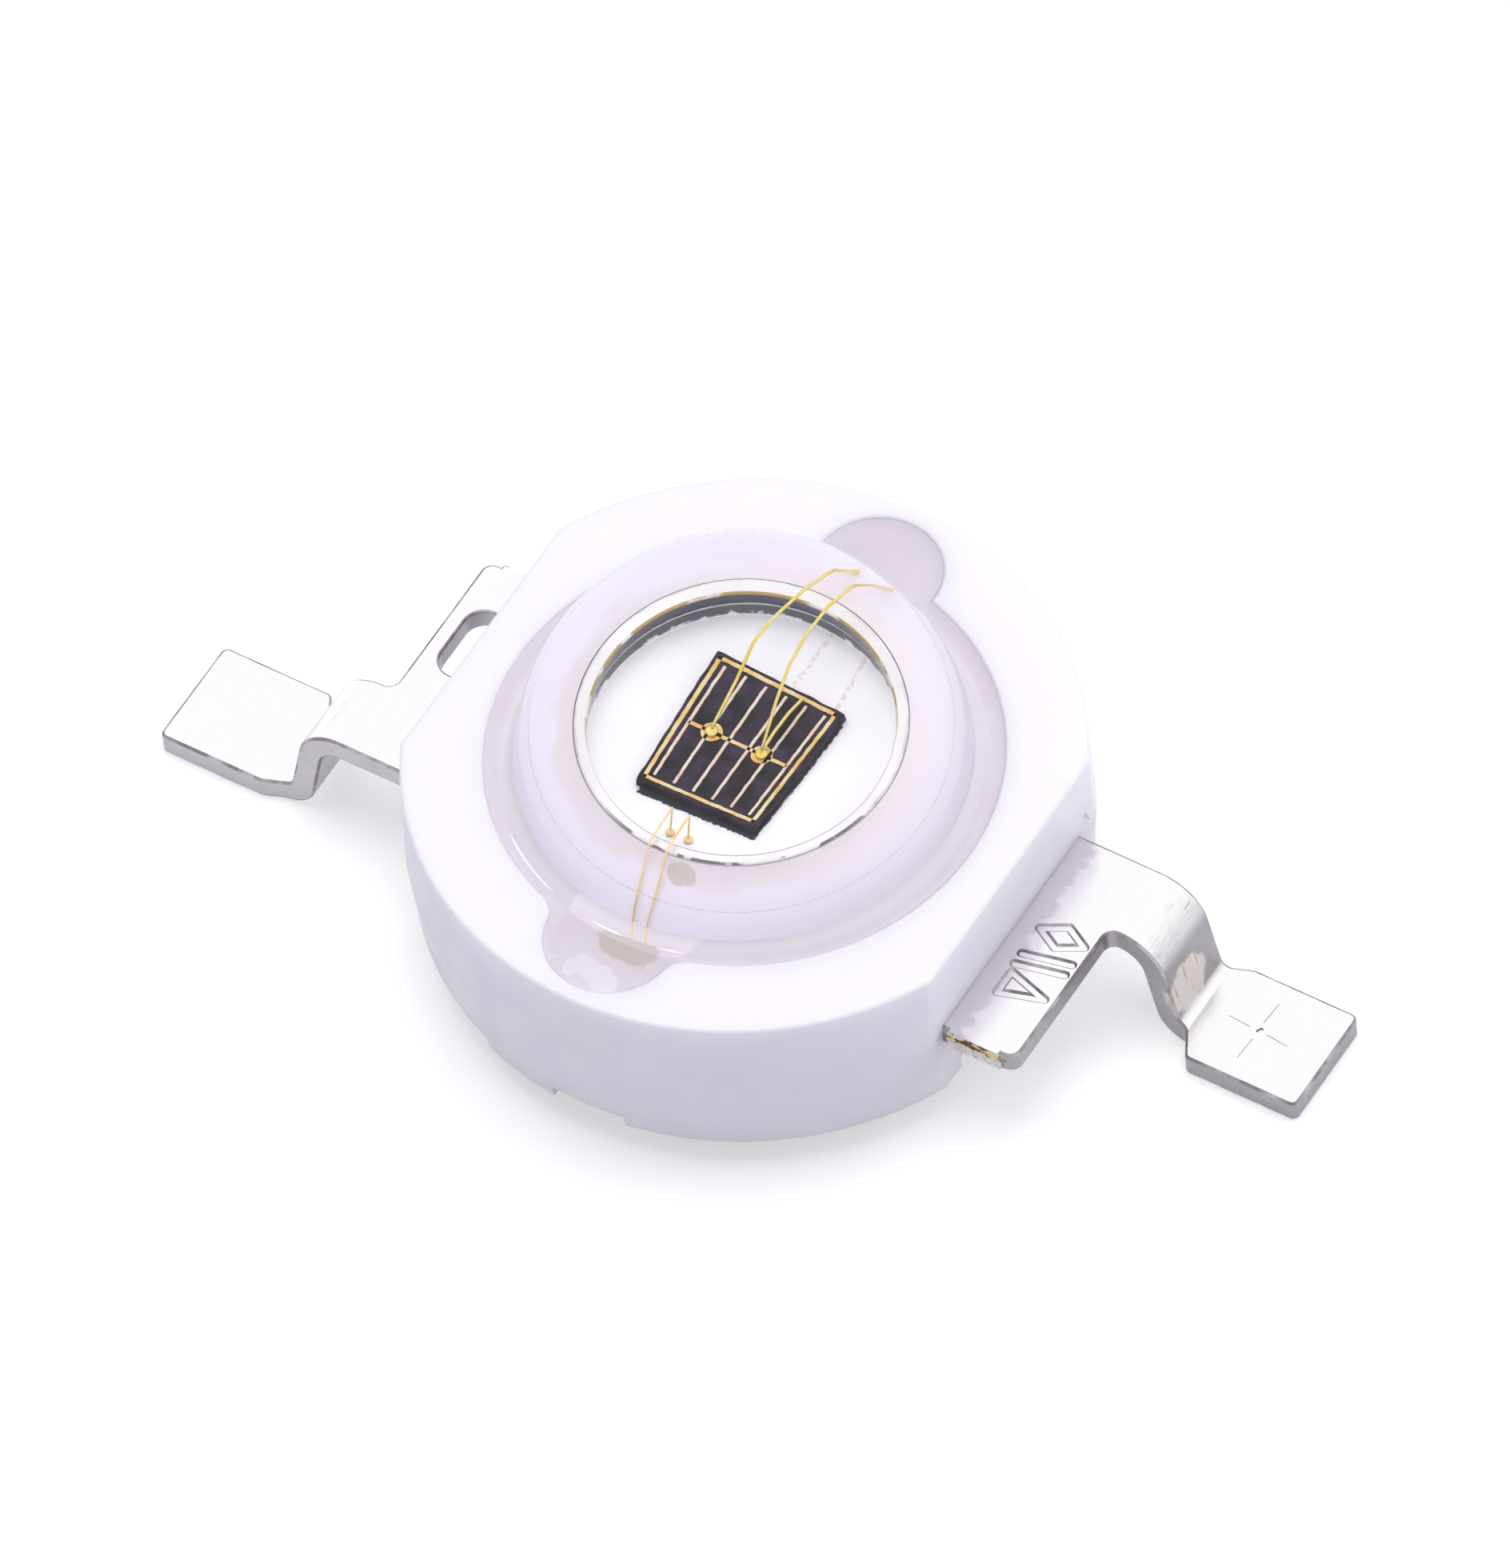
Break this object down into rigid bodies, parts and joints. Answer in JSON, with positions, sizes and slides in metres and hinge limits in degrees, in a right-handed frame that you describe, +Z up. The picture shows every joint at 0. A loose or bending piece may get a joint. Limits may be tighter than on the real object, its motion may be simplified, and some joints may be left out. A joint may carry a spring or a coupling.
{
  "type": "surface-mount led",
  "caption": "Round surface-mount power LED: white moulded body, heat slug, gull-wing leads and a clear dome lens over a wire-bonded chip.",
  "frame": {"origin": "on the body's axis at the plane of the board that the slug and the lead feet stand on", "axes": "+Z up through the dome, +X towards the right lead's foot, Y across the leads"},
  "size_m": [0.0144, 0.008, 0.0052],
  "materials": {
    "white_moulding": "satin white heat-resistant moulding",
    "plated_lead": "satin silver plating on copper strip",
    "plated_slug": "bright silver plating on turned copper",
    "solder": "dull solder",
    "chip": "polished dark semiconductor",
    "gold": "bright gold",
    "clear_lens": "clear polished optical plastic",
    "clear_silicone": "clear soft silicone"
  },
  "bodies": {
    "root": {"housing": "white_moulding", "left_lead": "plated_lead", "right_lead": "plated_lead", "heat_slug": "plated_slug", "die_attach": "solder", "led_chip": "chip", "chip_frame": "gold", "chip_grid": "gold", "chip_wire_a": "gold", "chip_wire_b": "gold", "slug_wire_a": "gold", "slug_wire_b": "gold", "dome_lens": "clear_lens", "silicone_fill": "clear_silicone"}
  },
  "joints": []
}
